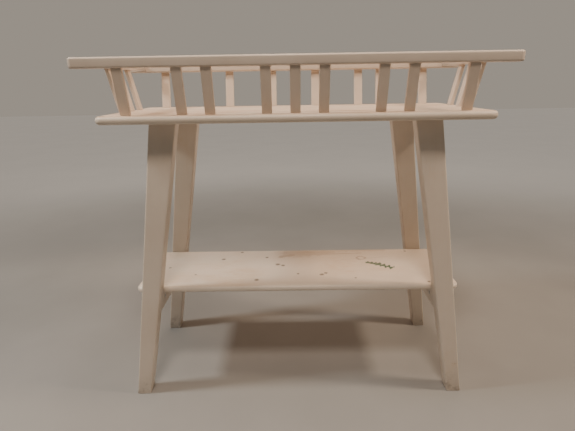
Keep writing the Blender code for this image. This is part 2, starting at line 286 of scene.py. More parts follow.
def slat_row_tree(bar):
    """A slat on every point, all with one lean, each with its own slight tone."""
    tree, given = open_tree("slat row", (("Lean", VECTOR), ("Section", VECTOR),
                                         ("Edge Ease", REAL), ("End Ease", REAL),
                                         ("Tone Seed", "NodeSocketInt"), ("Paint", MATERIAL)))
    slat = put_bar(tree, bar, Foot=(0.0, 0.0, 0.0), Top=given["Lean"], Foot_Size=given["Section"],
                   Top_Size=given["Section"], Edge_Ease=given["Edge Ease"],
                   End_Ease=given["End Ease"])
    chance = tree.nodes.new("FunctionNodeRandomValue")
    chance.data_type = "FLOAT"
    tree.links.new(given["Tone Seed"], chance.inputs["Seed"])
    tone = [s for s in chance.outputs if s.type == "VALUE" and s.enabled][0]
    feet = keep_value(tree, given["Geometry"], "tone", tone)
    row = add_node(tree, "GeometryNodeInstanceOnPoints", Points=feet, Instance=slat)
    return dressed(tree, row.outputs[0], given["Paint"])


def fittings_tree():
    """A given fitting on every point, its axis along the given direction times "hand"."""
    tree, given = open_tree("fittings", (("Fitting", "NodeSocketObject"), ("Axis", VECTOR),
                                         ("Metal", MATERIAL)))
    part = tree.nodes.new("GeometryNodeObjectInfo")
    tree.links.new(given["Fitting"], part.inputs["Object"])
    hand = tree.nodes.new("GeometryNodeInputNamedAttribute")
    hand.data_type = "FLOAT"
    hand.inputs["Name"].default_value = "hand"
    way = tree.nodes.new("ShaderNodeVectorMath")
    way.operation = "SCALE"
    tree.links.new(given["Axis"], way.inputs[0])
    value = [s for s in hand.outputs if s.type == "VALUE" and s.enabled][0]
    tree.links.new(value, way.inputs["Scale"])
    aim = tree.nodes.new("FunctionNodeAlignRotationToVector")
    aim.axis = "Z"
    tree.links.new(way.outputs[0], aim.inputs["Vector"])
    placed = add_node(tree, "GeometryNodeInstanceOnPoints", Points=given["Geometry"],
                      Instance=part.outputs["Geometry"], Rotation=aim.outputs[0])
    return dressed(tree, placed.outputs[0], given["Metal"])


def grown(name, tree, points, **inputs):
    """Run a tree over some points and keep the result as a plain mesh."""
    mesh = bpy.data.meshes.new(name + "_points")
    mesh.from_pydata([p[:3] for p in points], [], [])
    if points and len(points[0]) > 3:
        hand = mesh.attributes.new("hand", "FLOAT", "POINT")
        for entry, point in zip(hand.data, points):
            entry.value = point[3]
    made = bpy.data.objects.new(name, mesh)
    bpy.context.collection.objects.link(made)
    modifier = made.modifiers.new("grow", "NODES")
    modifier.node_group = tree
    names = {i.name: i.identifier for i in tree.interface.items_tree if i.in_out == "INPUT"}
    for key, value in inputs.items():
        modifier[names[key.replace("_", " ")]] = value
    return baked(made)


def baked(made):
    """Replace an object's mesh by its evaluated one, and drop its modifiers."""
    seen = made.evaluated_get(bpy.context.evaluated_depsgraph_get())
    plain = bpy.data.meshes.new_from_object(seen)
    made.modifiers.clear()
    made.data = plain
    plain.name = made.name
    return made


# ---------------------------------------------------------------- mesh code
def outline(length, depth, radius, steps):
    """Rounded rectangle about the origin, anticlockwise."""
    points = []
    for quarter in range(4):
        middle = (quarter + 0.5) * pi / 2
        cx = (length / 2 - radius) * (1 if cos(middle) > 0 else -1)
        cy = (depth / 2 - radius) * (1 if sin(middle) > 0 else -1)
        for i in range(steps + 1):
            a = (quarter + i / steps) * pi / 2
            points.append((cx + radius * cos(a), cy + radius * sin(a)))
    return points


def board(name, box, corner, edge_round, paint):
    """Flat board with plan corners and rounded upper and lower edges, from lower to upper face."""
    lower, upper = box
    length, depth, thick = upper - lower
    centre = (lower + upper) / 2
    profile = [(edge_round + FLAT_MARGIN, 0.0, 0.0)]
    for i in range(EDGE_STEPS + 1):
        a = i / EDGE_STEPS * pi / 2
        profile.append((edge_round * (1 - sin(a)), edge_round * (1 - cos(a)), sin(2 * a)))
    profile += [(inset, thick - rise, edge) for inset, rise, edge in reversed(profile)]
    shape = bmesh.new()
    edge_value = shape.verts.layers.float.new("edge")
    rings = []
    for inset, rise, edge in profile:
        radius = max(corner - inset, SHARPEST_CORNER)
        ring = []
        for x, y in outline(length - 2 * inset, depth - 2 * inset, radius, CORNER_STEPS):
            vert = shape.verts.new((centre.x + x, centre.y + y, lower.z + rise))
            vert[edge_value] = edge
            ring.append(vert)
        rings.append(ring)
    count = len(rings[0])
    for under, over in zip(rings, rings[1:]):
        for i in range(count):
            j = (i + 1) % count
            shape.faces.new((under[i], under[j], over[j], over[i]))
    shape.faces.new(rings[0][::-1])
    shape.faces.new(rings[-1])
    return add_piece(name, shape, paint)


def square_ended_rail(name, box, edge_round, paint):
    """Side rail: rounded along its length, cut square where it meets the long rails."""
    lower, upper = box
    width, length, thick = upper - lower
    centre = (lower + upper) / 2
    section = []
    for quarter in range(4):
        middle = (quarter + 0.5) * pi / 2
        cx = (width / 2 - edge_round) * (1 if cos(middle) > 0 else -1)
        cz = (thick / 2 - edge_round) * (1 if sin(middle) > 0 else -1)
        first, last = quarter * pi / 2, (quarter + 1) * pi / 2
        section.append((cx + edge_round * cos(first) + FLAT_MARGIN * sin(first),
                        cz + edge_round * sin(first) - FLAT_MARGIN * cos(first), 0.0))
        for i in range(7):
            a = first + i / 6 * pi / 2
            section.append((cx + edge_round * cos(a), cz + edge_round * sin(a), sin(i / 6 * pi)))
        section.append((cx + edge_round * cos(last) - FLAT_MARGIN * sin(last),
                        cz + edge_round * sin(last) + FLAT_MARGIN * cos(last), 0.0))
    shape = bmesh.new()
    edge_value = shape.verts.layers.float.new("edge")
    rings = []
    for y in (-length / 2, length / 2):
        ring = []
        for x, z, edge in section:
            vert = shape.verts.new((centre.x + x, centre.y + y, centre.z + z))
            vert[edge_value] = edge
            ring.append(vert)
        rings.append(ring)
    count = len(section)
    for i in range(count):
        j = (i + 1) % count
        shape.faces.new((rings[0][i], rings[0][j], rings[1][j], rings[1][i]))
    shape.faces.new(rings[0][::-1])
    shape.faces.new(rings[1])
    return add_piece(name, shape, paint)


def add_piece(name, shape, material):
    """Mesh to object: broad many-sided faces stay flat, the rest is smooth."""
    bmesh.ops.recalc_face_normals(shape, faces=shape.faces)
    for face in shape.faces:
        face.smooth = len(face.verts) == 4
    mesh = bpy.data.meshes.new(name)
    shape.to_mesh(mesh)
    shape.free()
    mesh.materials.append(material)
    made = bpy.data.objects.new(name, mesh)
    bpy.context.collection.objects.link(made)
    return made


def turned(profile, steps=32):
    """Closed solid of revolution about Z from (radius, z) points off the axis, lowest first."""
    shape = bmesh.new()
    rings = []
    for radius, z in profile:
        angles = [2 * pi * i / steps for i in range(steps)]
        rings.append([shape.verts.new((radius * cos(a), radius * sin(a), z)) for a in angles])
    for under, over in zip(rings, rings[1:]):
        for i in range(steps):
            j = (i + 1) % steps
            shape.faces.new((under[i], under[j], over[j], over[i]))
    shape.faces.new(rings[0][::-1])
    shape.faces.new(rings[-1])
    return shape


def carve(target, shapes):
    """Cut closed shapes out of an object, for good."""
    cutters = []
    for i, shape in enumerate(shapes):
        cutter = add_piece(f"cutter_{i}", shape, target.data.materials[0])
        for face in cutter.data.polygons:
            face.use_smooth = True
        boolean = target.modifiers.new("carve", "BOOLEAN")
        boolean.operation = "DIFFERENCE"
        boolean.solver = "EXACT"
        boolean.object = cutter
        cutters.append(cutter)
    baked(target)
    for cutter in cutters:
        bpy.data.objects.remove(cutter, do_unlink=True)
    return target


def bored(width, depth, ease):
    """Cutter for a round hole with a chamfered mouth, going in along -Z."""
    radius = width / 2
    return turned(((radius, -depth), (radius, -ease), (radius + ease, 0.0),
                   (radius + ease, CUT_CLEAR)))


def aimed(shape, direction, place):
    turn = Vector(direction).to_track_quat("Z", "Y").to_matrix().to_4x4()
    shape.transform(Matrix.Translation(place) @ turn)
    return shape


# ---------------------------------------------------------------- surface nodes
def noise(tree, where, scale, detail=3.0, rough=0.55, stretch=(1.0, 1.0, 1.0)):
    mapping = tree.nodes.new("ShaderNodeMapping")
    tree.links.new(where, mapping.inputs["Vector"])
    mapping.inputs["Scale"].default_value = stretch
    node = tree.nodes.new("ShaderNodeTexNoise")
    tree.links.new(mapping.outputs[0], node.inputs["Vector"])
    node.inputs["Scale"].default_value = scale
    node.inputs["Detail"].default_value = detail
    node.inputs["Roughness"].default_value = rough
    return node.outputs[0]


def between(tree, value, start, end, first=0.0, last=1.0):
    """Smooth step from first to last while the value goes from start to end."""
    node = tree.nodes.new("ShaderNodeMapRange")
    node.interpolation_type = "SMOOTHSTEP"
    feed(tree, node.inputs["Value"], value)
    for label, limit in (("From Min", start), ("From Max", end), ("To Min", first),
                         ("To Max", last)):
        node.inputs[label].default_value = limit
    return node.outputs[0]


def mixed(tree, share, first, second):
    """Colour between two colours."""
    node = tree.nodes.new("ShaderNodeMix")
    node.data_type = "RGBA"
    feed(tree, node.inputs["Factor"], share)
    for label, colour in (("A_Color", first), ("B_Color", second)):
        socket = [s for s in node.inputs if s.identifier == label][0]
        feed(tree, socket, (*colour, 1.0) if isinstance(colour, tuple) else colour)
    return [s for s in node.outputs if s.identifier == "Result_Color"][0]


def most(tree, *values):
    result = values[0]
    for value in values[1:]:
        result = number(tree, "MAXIMUM", result, value)
    return result


def times(tree, *values):
    result = values[0]
    for value in values[1:]:
        result = number(tree, "MULTIPLY", result, value)
    return result


def own_value(tree, name):
    node = tree.nodes.new("ShaderNodeAttribute")
    node.attribute_name = name
    return node.outputs["Fac"]


def open_material(name):
    material = bpy.data.materials.new(name)
    material.use_nodes = True
    tree = material.node_tree
    shader = tree.nodes["Principled BSDF"]
    where = tree.nodes.new("ShaderNodeTexCoord").outputs["Object"]
    return material, tree, shader, where


def bumped(tree, shader, height, depth, strength=1.0):
    node = tree.nodes.new("ShaderNodeBump")
    node.inputs["Strength"].default_value = strength
    node.inputs["Distance"].default_value = depth
    tree.links.new(height, node.inputs["Height"])
    tree.links.new(node.outputs[0], shader.inputs["Normal"])


PAINT = (0.80, 0.725, 0.64)
PAINT_THIN = (0.77, 0.66, 0.53)
PAINT_SHADE = (0.73, 0.65, 0.565)
BARE_WOOD = (0.40, 0.25, 0.14)
GRIME = (0.19, 0.145, 0.105)

# Share of the paint's own colour for each kind of piece. The rails and slats are darker, as painted
# shade, and the shelf is lighter, as painted light; the tabletop and the legs are a little darker
# and warmer.
TOP_TINT = (0.94, 0.91, 0.87)
RAIL_PAINTED_SHADE = (0.86, 0.825, 0.80)
SLAT_PAINTED_SHADE = (0.86, 0.81, 0.775)
LEG_TINT = (0.94, 0.92, 0.90)
SHELF_PAINTED_LIGHT = (1.07, 1.055, 1.04)

ALONG_X, ALONG_Y, ALONG_Z = range(3)


def grain_stretch(run, length_ways, cross_ways):
    """Few features along the run, many across it."""
    return tuple(length_ways if axis == run else cross_ways for axis in range(3))


def paint_finish(name, run, tint, wear, marks=None, scuff_height=None, rough_range=(0.34, 0.47)):
    """Brushed white oil paint on wood.

    run is the axis of the brush strokes, tint the share of the paint's own colour for this
    kind of piece, which paints shade on the rails and slats and light on the shelf, and
    wear how bare its arrises are. marks takes the tree and the place, and gives pairs of share
    and colour, laid one over the other. Below scuff_height the paint is dirty.
    """
    paint, thin, shade = (tuple(c * t for c, t in zip(base, tint))
                          for base in (PAINT, PAINT_THIN, PAINT_SHADE))
    material, tree, shader, where = open_material(name)
    clouds = noise(tree, where, 5.0, 4.0, 0.6)
    strokes = noise(tree, where, 1.0, 5.0, 0.62, grain_stretch(run, 3.0, 170.0))
    broad = noise(tree, where, 1.0, 3.0, 0.5, grain_stretch(run, 1.2, 42.0))
    pores = noise(tree, where, 420.0, 2.0, 0.5)
    edge = own_value(tree, "edge")
    tone = own_value(tree, "tone")

    colour = mixed(tree, between(tree, clouds, 0.32, 0.72), paint, shade)
    colour = mixed(tree, times(tree, between(tree, strokes, 0.50, 0.74), 0.34), colour, thin)
    colour = mixed(tree, times(tree, between(tree, broad, 0.52, 0.78), 0.30), colour, shade)
    colour = mixed(tree, times(tree, tone, 0.14), colour, thin)

    patch = noise(tree, where, 34.0, 5.0, 0.66)
    rub = noise(tree, where, 6.0, 3.0, 0.55)
    thin_edge = times(tree, edge, between(tree, patch, 0.50, 0.66), between(tree, rub, 0.42, 0.66))
    colour = mixed(tree, times(tree, thin_edge, wear), colour, thin)
    chip = times(tree, edge, between(tree, patch, 0.66, 0.71), between(tree, rub, 0.50, 0.62), wear)
    colour = mixed(tree, chip, colour, BARE_WOOD)
    if scuff_height:
        low_down = between(tree, split(tree, where)[2], scuff_height, 0.0)
        scuff = times(tree, low_down, between(tree, patch, 0.46, 0.64))
        colour = mixed(tree, times(tree, scuff, 0.45), colour, GRIME)
    rough = between(tree, strokes, 0.25, 0.75, *rough_range)
    for share, mark in (marks(tree, where) if marks else ()):
        colour = mixed(tree, share, colour, mark)
        rough = number(tree, "MAXIMUM", rough, times(tree, share, 0.85))
    tree.links.new(colour, shader.inputs["Base Color"])
    tree.links.new(rough, shader.inputs["Roughness"])
    relief = number(tree, "ADD", times(tree, strokes, 0.7), times(tree, broad, 0.9))
    relief = number(tree, "ADD", relief, times(tree, pores, 0.16))
    relief = number(tree, "SUBTRACT", relief, times(tree, chip, 1.3))
    bumped(tree, shader, relief, 0.00035, 0.75)
    return material


# ---------------------------------------------------------------- marks of use
SHELF_DOTS = (              # x, y, radius
    (-0.26, 0.067, 0.0095), (-0.105, 0.080, 0.0080), (-0.064, 0.016, 0.0105),
    (-0.046, 0.007, 0.0085), (-0.129, -0.105, 0.0105), (-0.435, -0.002, 0.006),
    (-0.20, 0.131, 0.008), (0.083, -0.070, 0.0095), (0.097, -0.059, 0.0080),
    (0.405, 0.125, 0.006), (0.415, -0.132, 0.007), (0.005, -0.062, 0.006),
    (-0.335, -0.060, 0.005), (0.190, -0.098, 0.005))
# Brown strokes over the rear strip of the shelf: partly a real stained patch, partly painted shadow
# cast by the tabletop.
STAIN_AND_SHADOW_STROKES = (           # from, to, half width, strength
    ((-0.055, 0.086), (-0.01, 0.098), 0.014, 1.0),
    ((-0.02, 0.110), (0.12, 0.138), 0.045, 0.62),
    ((0.02, 0.100), (0.24, 0.112), 0.006, 0.7),
    ((0.02, 0.142), (0.32, 0.142), 0.020, 0.5))
CRAYON_STROKES = (          # from, to, half width, swing, beat
    ((0.248, 0.026), (0.290, 0.010), 0.0095, 0.004, 0.014),
    ((0.282, 0.010), (0.322, -0.020), 0.0120, 0.008, 0.018),
    ((0.250, 0.022), (0.322, -0.018), 0.0070, 0.0, 0.014))
SCRATCH = ((0.16, 0.052), (0.33, 0.074), 0.0012)
RING_PLACE = (0.233, 0.065)
RING_OUTER, RING_INNER = 0.022, 0.016
UPPER_FACE_DEPTH = 0.003    # marks fade out this far below an upper face

# warm tan of the tabletop's upper face: thin paint over wood, and painted reflection of a warm wall
WASHED_WOOD_AND_REFLECTION = (0.78, 0.54, 0.38)
WORN_WOOD = (0.56, 0.39, 0.26)
RUBBED_WOOD = (0.47, 0.32, 0.21)
WARM_HAZE = (0.72, 0.56, 0.41)
# brown of the rear strokes on the shelf: staining and painted shadow
STAIN_AND_SHADOW_BROWN = (0.42, 0.28, 0.17)
CUP_RING = (0.34, 0.20, 0.12)
GREEN_CRAYON = (0.018, 0.105, 0.045)


def on_upper_face(tree, where, level):
    return between(tree, split(tree, where)[2], level - UPPER_FACE_DEPTH, level - 0.001)


def spot(tree, where, x, y, radius, wobble):
    """Soft-edged round mark at a place on a level board."""
    px, py, _ = split(tree, where)
    dx = number(tree, "SUBTRACT", px, x)
    dy = number(tree, "SUBTRACT", py, y)
    far = number(tree, "SQRT", number(tree, "ADD", times(tree, dx, dx), times(tree, dy, dy)))
    far = number(tree, "ADD", far, times(tree, number(tree, "SUBTRACT", wobble, 0.5), radius * 1.1))
    return between(tree, far, radius, radius * 0.45)


def dash(tree, where, start, end, width, wobble, swing=0.0, beat=0.014):
    """Mark drawn from one place to another on a level board, straight or swinging to and fro."""
    px, py, _ = split(tree, where)
    run = Vector((end[0] - start[0], end[1] - start[1]))
    length = run.length
    run.normalize()
    dx = number(tree, "SUBTRACT", px, start[0])
    dy = number(tree, "SUBTRACT", py, start[1])
    along = number(tree, "ADD", times(tree, dx, run.x), times(tree, dy, run.y))
    beside = number(tree, "ADD", times(tree, dx, -run.y), times(tree, dy, run.x))
    if swing:
        turn = number(tree, "SINE", times(tree, number(tree, "ADD", along, times(
            tree, beside, 0.25)), 2 * pi / beat))
        beside = number(tree, "SUBTRACT", beside, times(tree, turn, swing))
    past = number(tree, "SUBTRACT", along, number(
        tree, "MINIMUM", number(tree, "MAXIMUM", along, 0.0), length))
    far = number(tree, "SQRT", number(tree, "ADD", times(tree, past, past),
                                      times(tree, beside, beside)))
    far = number(tree, "ADD", far, times(tree, number(tree, "SUBTRACT", wobble, 0.5), width * 1.6))
    return between(tree, far, width, width * 0.4)


def specks(tree, where, scale, share, size):
    """Small dark dots, in a share of the cells of a random pattern."""
    cells = tree.nodes.new("ShaderNodeTexVoronoi")
    cells.feature = "F1"
    cells.inputs["Scale"].default_value = scale
    tree.links.new(where, cells.inputs["Vector"])
    chance = split(tree, cells.outputs["Color"])[0]
    kept = number(tree, "LESS_THAN", chance, share)
    return times(tree, kept, between(tree, cells.outputs["Distance"], size, size * 0.35))


def top_marks(tree, where):
    """Tabletop: a warm tint over the upper face, partly thin paint over the wood and partly painted
    reflection of a warm wall, worn patches, rubbed streaks where the wood shows, and specks.
    """
    streaks = noise(tree, where, 1.0, 6.0, 0.62, (5.0, 60.0, 20.0))
    area = noise(tree, where, 3.4, 3.0, 0.5)
    patches = noise(tree, where, 1.0, 5.0, 0.62, (3.4, 13.0, 8.0))
    upper = on_upper_face(tree, where, TOP_UPPER)
    rubbed = times(tree, between(tree, streaks, 0.48, 0.64), between(tree, area, 0.42, 0.58), upper)
    worn = times(tree, between(tree, patches, 0.50, 0.64), upper)
    # warm tint over the upper face: partly thin paint over wood, partly painted reflection of a
    # warm wall
    wash_and_reflection = times(tree, upper, number(tree, "ADD", 0.18, times(
        tree, between(tree, area, 0.35, 0.62), 0.26)))
    return ((wash_and_reflection, WASHED_WOOD_AND_REFLECTION),
            (times(tree, worn, 0.50), WORN_WOOD),
            (times(tree, rubbed, 0.62), RUBBED_WOOD),
            (times(tree, specks(tree, where, 24.0, 0.16, 0.05), upper, 0.8), GRIME))


def shelf_marks(tree, where):
    """Shelf: brown strokes along the rear strip, partly a stained patch and partly painted shadow
    of the tabletop, a cup's ring, a green crayon scribble, a scratch, dots and specks.
    """
    upper = on_upper_face(tree, where, SHELF_UPPER)
    wobble = noise(tree, where, 55.0, 4.0, 0.6)
    fine = noise(tree, where, 260.0, 3.0, 0.6)
    haze = noise(tree, where, 4.0, 3.0, 0.5)
    mottle = noise(tree, where, 16.0, 5.0, 0.7, (0.7, 1.6, 1.0))
    warm = times(tree, between(tree, haze, 0.36, 0.60), upper, number(
        tree, "ADD", 0.18, times(tree, between(tree, mottle, 0.40, 0.66), 0.50)))
    # brown strokes on the rear strip: staining and painted shadow of the tabletop
    stain_and_shadow = most(tree, *[times(tree, dash(tree, where, *stroke, wobble), strength)
                         for *stroke, strength in STAIN_AND_SHADOW_STROKES])
    ring_middle = spot(tree, where, *RING_PLACE, RING_INNER, wobble)
    ring = times(tree, spot(tree, where, *RING_PLACE, RING_OUTER, wobble),
                 number(tree, "SUBTRACT", 1.0, ring_middle))
    green = most(tree, *[dash(tree, where, *stroke, fine, swing, beat)
                         for *stroke, swing, beat in CRAYON_STROKES])
    broken = between(tree, fine, 0.32, 0.46)
    scratch = dash(tree, where, *SCRATCH, wobble)
    dots = most(tree, *[spot(tree, where, *dot, fine) for dot in SHELF_DOTS])
    return ((warm, WARM_HAZE),
            (times(tree, stain_and_shadow, upper, 0.52), STAIN_AND_SHADOW_BROWN),
            (times(tree, ring, upper, 0.90), CUP_RING),
            (times(tree, scratch, upper, 0.35), GRIME),
            (times(tree, dots, upper, 0.85), GRIME),
            (times(tree, specks(tree, where, 30.0, 0.13, 0.045), upper, 0.7), GRIME),
            (times(tree, green, broken, upper, 0.97), GREEN_CRAYON))


# ---------------------------------------------------------------- metal and bare wood
CAM_STEEL = (0.50, 0.49, 0.46)
SCREW_STEEL = (0.62, 0.58, 0.48)
BEECH = (0.62, 0.43, 0.27)
BEECH_DARK = (0.50, 0.32, 0.18)
BEECH_FLECK = (0.30, 0.17, 0.09)


def steel_finish(name, colour, roughness):
    """Zinc-plated steel, dulled, with fine turning marks."""
    material, tree, shader, where = open_material(name)
    dull = noise(tree, where, 160.0, 4.0, 0.6)
    fine = noise(tree, where, 1500.0, 2.0, 0.5)
    dark = tuple(c * 0.55 for c in colour)
    tree.links.new(mixed(tree, between(tree, dull, 0.42, 0.7), colour, dark),
                   shader.inputs["Base Color"])
    tree.links.new(between(tree, dull, 0.3, 0.7, roughness - 0.06, roughness + 0.14),
                   shader.inputs["Roughness"])
    shader.inputs["Metallic"].default_value = 1.0
    bumped(tree, shader, fine, 0.00005, 0.5)
    return material


def beech_finish(name, run):
    """Bare beech with its short dark flecks along the grain."""
    material, tree, shader, where = open_material(name)
    grain = noise(tree, where, 1.0, 5.0, 0.6, grain_stretch(run, 12.0, 420.0))
    flecks = noise(tree, where, 1.0, 2.0, 0.5, grain_stretch(run, 160.0, 1400.0))
    colour = mixed(tree, between(tree, grain, 0.3, 0.7), BEECH, BEECH_DARK)
    colour = mixed(tree, between(tree, flecks, 0.62, 0.72), colour, BEECH_FLECK)
    tree.links.new(colour, shader.inputs["Base Color"])
    tree.links.new(between(tree, grain, 0.3, 0.7, 0.5, 0.66), shader.inputs["Roughness"])
    bumped(tree, shader, grain, 0.0001, 0.6)
    return material


# ---------------------------------------------------------------- pieces
def show(piece, material_slot, *nodes):
    """The piece rides with the table and stands for the named solids."""
    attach(piece, "root")
    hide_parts(*nodes)
    return piece


def make_boards(paints):
    top = board("tabletop_board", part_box("tabletop"), BOARD_CORNER,
                (TOP_UPPER - TOP_LOWER) / 2 - BOARD_FLAT, paints["tabletop"])
    show(top, "paint", "tabletop")
    shelf = board("shelf_board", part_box("shelf"), SHELF_CORNER,
                  (SHELF_UPPER - SHELF_LOWER) / 2 - BOARD_FLAT, paints["shelf"])
    show(shelf, "paint", "shelf")


def make_rails(paints):
    for name, _ in ENDS:
        rail = board(f"long_rail_{name}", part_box(f"rail_{name}"), RAIL_END_ROUND, RAIL_ROUND,
                     paints["long rail"])
        show(rail, "paint", f"rail_{name}")
    for name, _ in SIDES:
        rail = square_ended_rail(f"side_rail_{name}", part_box(f"rail_{name}"), RAIL_ROUND,
                                 paints["side rail"])
        show(rail, "paint", f"rail_{name}")


def make_legs(bar, paints):
    """Each leg goes from its wide top under the tabletop to its narrow foot on the floor."""
    for end_name, end in ENDS:
        for side_name, side in SIDES:
            node = f"leg_{end_name}_{side_name}"
            lower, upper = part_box(node)
            foot_x = (upper.x if side > 0 else lower.x) - side * LEG_FOOT_WIDTH / 2
            top_x = (lower.x if side > 0 else upper.x) + side * LEG_TOP_WIDTH / 2
            foot_y = (upper.y if end > 0 else lower.y) - end * LEG_THICK / 2
            top_y = (lower.y if end > 0 else upper.y) + end * LEG_THICK / 2
            leg = grown(f"painted_{node}", bar, [(0, 0, 0)],
                        Foot=(foot_x, foot_y, lower.z), Top=(top_x, top_y, upper.z),
                        Foot_Size=(LEG_FOOT_WIDTH, LEG_THICK, 0),
                        Top_Size=(LEG_TOP_WIDTH, LEG_THICK, 0),
                        Edge_Ease=LEG_EASE, End_Ease=0.0012, Paint=paints["leg"])
            show(leg, "paint", node)


def slat_rows(row, paints):
    """Front and rear rows and the two side rows, each row one piece."""
    for name, way in (*ENDS, *SIDES):
        axis = 1 if name in ("front", "rear") else 0
        nodes = sorted((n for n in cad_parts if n.startswith(f"slat_{name}_")),
                       key=lambda n: low(n)[1 - axis])
        lower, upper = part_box(nodes[0])
        rise = upper.z - lower.z
        inner_foot = lower[axis] if way > 0 else upper[axis]
        outer_top = upper[axis] if way > 0 else lower[axis]
        foot = inner_foot + way * SLAT_THICK / 2
        lean = outer_top - way * SLAT_THICK / 2 - foot
        points = []
        for node in nodes:
            place = [middle_of(node).x, middle_of(node).y, lower.z]
            place[axis] = foot
            points.append(tuple(place))
        top = (0.0, lean, rise) if axis == 1 else (lean, 0.0, rise)
        section = [SLAT_WIDTH, SLAT_WIDTH, 0.0]
        section[axis] = SLAT_THICK
        slats = grown(f"slats_{name}", row, points, Lean=top, Section=tuple(section),
                      Edge_Ease=SLAT_EASE, End_Ease=0.0003, Tone_Seed=7 + len(name),
                      Paint=paints["slat"])
        show(slats, "paint", *nodes)


def make_stretchers(bar, paints):
    """Bars under the shelf, with a countersunk recess for each cam and screw."""
    for side_name, side in SIDES:
        node = f"stretcher_{side_name}"
        lower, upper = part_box(node)
        long_foot = upper.y - lower.y
        long_top = 2 * (high("shelf").y + STRETCHER_SPARE)
        middle_x = (lower.x + upper.x) / 2
        inner = lower.x if side > 0 else upper.x
        piece = grown(f"painted_{node}", bar, [(0, 0, 0)],
                      Foot=(middle_x, 0, lower.z), Top=(middle_x, 0, upper.z),
                      Foot_Size=(upper.x - lower.x, long_foot, 0),
                      Top_Size=(upper.x - lower.x, long_top, 0),
                      Edge_Ease=STRETCHER_EASE, End_Ease=STRETCHER_EASE, Paint=paints["stretcher"])
        holes = []
        for end_name, _ in ENDS:
            cam = middle_of(f"cam_{end_name}_{side_name}")
            holes.append(aimed(bored(CAM_HOLE, CAM_HOLE_DEPTH, CAM_HOLE_EASE), (-side, 0, 0),
                               (inner, cam.y, cam.z)))
            screw = middle_of(f"shelf_screw_{end_name}_{side_name}")
            holes.append(aimed(bored(SCREW_HOLE, SCREW_HOLE_DEPTH, SCREW_HOLE_EASE), (0, 0, -1),
                               (screw.x, screw.y, lower.z)))
        carve(piece, holes)
        show(piece, "paint", node)


def cross_bar(length, width, depth, z):
    """Block for one arm of a driver recess."""
    shape = bmesh.new()
    bmesh.ops.create_cube(shape, size=1.0, matrix=Matrix.Translation((0, 0, z)) @ Matrix.Diagonal(
        (length, width, depth, 1.0)))
    return shape


def cross_recess(target, across, width, depth, z):
    """Two crossing driver slots."""
    return carve(target, [cross_bar(across, width, depth, z), cross_bar(width, across, depth, z)])


def cam_shape(node, steel):
    """Cam disc with a raised rim, facing +Z from its outer face at 0."""
    lower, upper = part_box(node)
    radius = (upper.z - lower.z) / 2
    depth = upper.x - lower.x
    inner_ease, outer_ease = 0.0003, 0.0004
    disc = add_piece("cam_shape", turned((
        (radius - inner_ease, -depth), (radius, -depth + inner_ease), (radius, -outer_ease),
        (radius - outer_ease, 0.0), (radius * 0.72, 0.0), (radius * 0.68, -0.0003))), steel)
    return cross_recess(disc, radius * 1.15, 0.0013, 0.004, -0.0006)


def screw_shape(node, steel):
    """Countersunk screw, head at 0 and point towards +Z, its thread as rings."""
    lower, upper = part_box(node)
    head = (upper.x - lower.x) / 2
    length = upper.z - lower.z
    core, crest, pitch, flank = 0.0015, 0.0021, 0.0018, 0.0005
    thread_start = 0.016
    profile = [(head * 0.82, 0.0), (head, 0.0005), (head, 0.0010), (core, 0.0032),
               (core, thread_start)]
    z = thread_start
    while z < length - 0.006:
        profile += [(core, z + flank), (crest, z + pitch / 2), (core, z + pitch - flank)]
        z += pitch
    profile += [(core, length - 0.004), (core * 0.2, length)]
    screw = add_piece("screw_shape", turned(tuple(profile), 20), steel)
    return cross_recess(screw, 0.0046, 0.0010, 0.0030, 0.0)


def make_fittings(tree, steel, screw_steel):
    """Cams in the stretchers' inner faces, and screws up through the stretchers."""
    corners = [(f"{e}_{s}", side) for e, _ in ENDS for s, side in SIDES]
    cams = [f"cam_{corner}" for corner, _ in corners]
    cam = cam_shape(cams[0], steel)
    points = []
    for node, (_, side) in zip(cams, corners):
        face = low(node).x if side > 0 else high(node).x
        points.append((face, middle_of(node).y, middle_of(node).z, -side))
    made = grown("cams", tree, points, Fitting=cam, Axis=(1, 0, 0), Metal=steel)
    show(made, "steel", *cams)

    screws = [f"shelf_screw_{corner}" for corner, _ in corners]
    screw = screw_shape(screws[0], screw_steel)
    points = [(middle_of(node).x, middle_of(node).y, low(node).z, 1.0) for node in screws]
    made = grown("shelf_screws", tree, points, Fitting=screw, Axis=(0, 0, 1), Metal=screw_steel)
    show(made, "steel", *screws)
    for spare in (cam, screw):
        bpy.data.objects.remove(spare, do_unlink=True)


def finish_hidden_fittings(steel, beech):
    """Bolts, dowel screws and dowels keep their shapes inside the wood."""
    for name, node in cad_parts.items():
        hidden_metal = name.startswith(("cam_bolt", "dowel_screw"))
        if hidden_metal or name.startswith("rail_dowel"):
            for material_slot in node.material_slots:
                material_slot.material = steel if hidden_metal else beech


# ---------------------------------------------------------------- camera, light, floor
CAMERA_PLACE = (-0.0138, -1.3575, 0.9432)
CAMERA_LENS = 26.77
CAMERA_PITCH, CAMERA_YAW, CAMERA_ROLL = 17.09, -0.58, -0.94     # degrees, down, right, over


def place_camera():
    """Standing in front of the table, looking down on it."""
    pitch, yaw, roll = radians(CAMERA_PITCH), radians(CAMERA_YAW), radians(CAMERA_ROLL)
    ahead = Vector((sin(yaw) * cos(pitch), cos(yaw) * cos(pitch), -sin(pitch)))
    right = Vector((cos(yaw), -sin(yaw), 0))
    up = right.cross(ahead)
    right, up = cos(roll) * right + sin(roll) * up, cos(roll) * up - sin(roll) * right
    data = bpy.data.cameras.new("camera")
    data.sensor_width = 36.0
    data.lens = CAMERA_LENS
    made = bpy.data.objects.new("camera", data)
    bpy.context.collection.objects.link(made)
    turn = Matrix((right, up, -ahead)).transposed().to_4x4()
    made.matrix_world = Matrix.Translation(CAMERA_PLACE) @ turn
    bpy.context.scene.camera = made


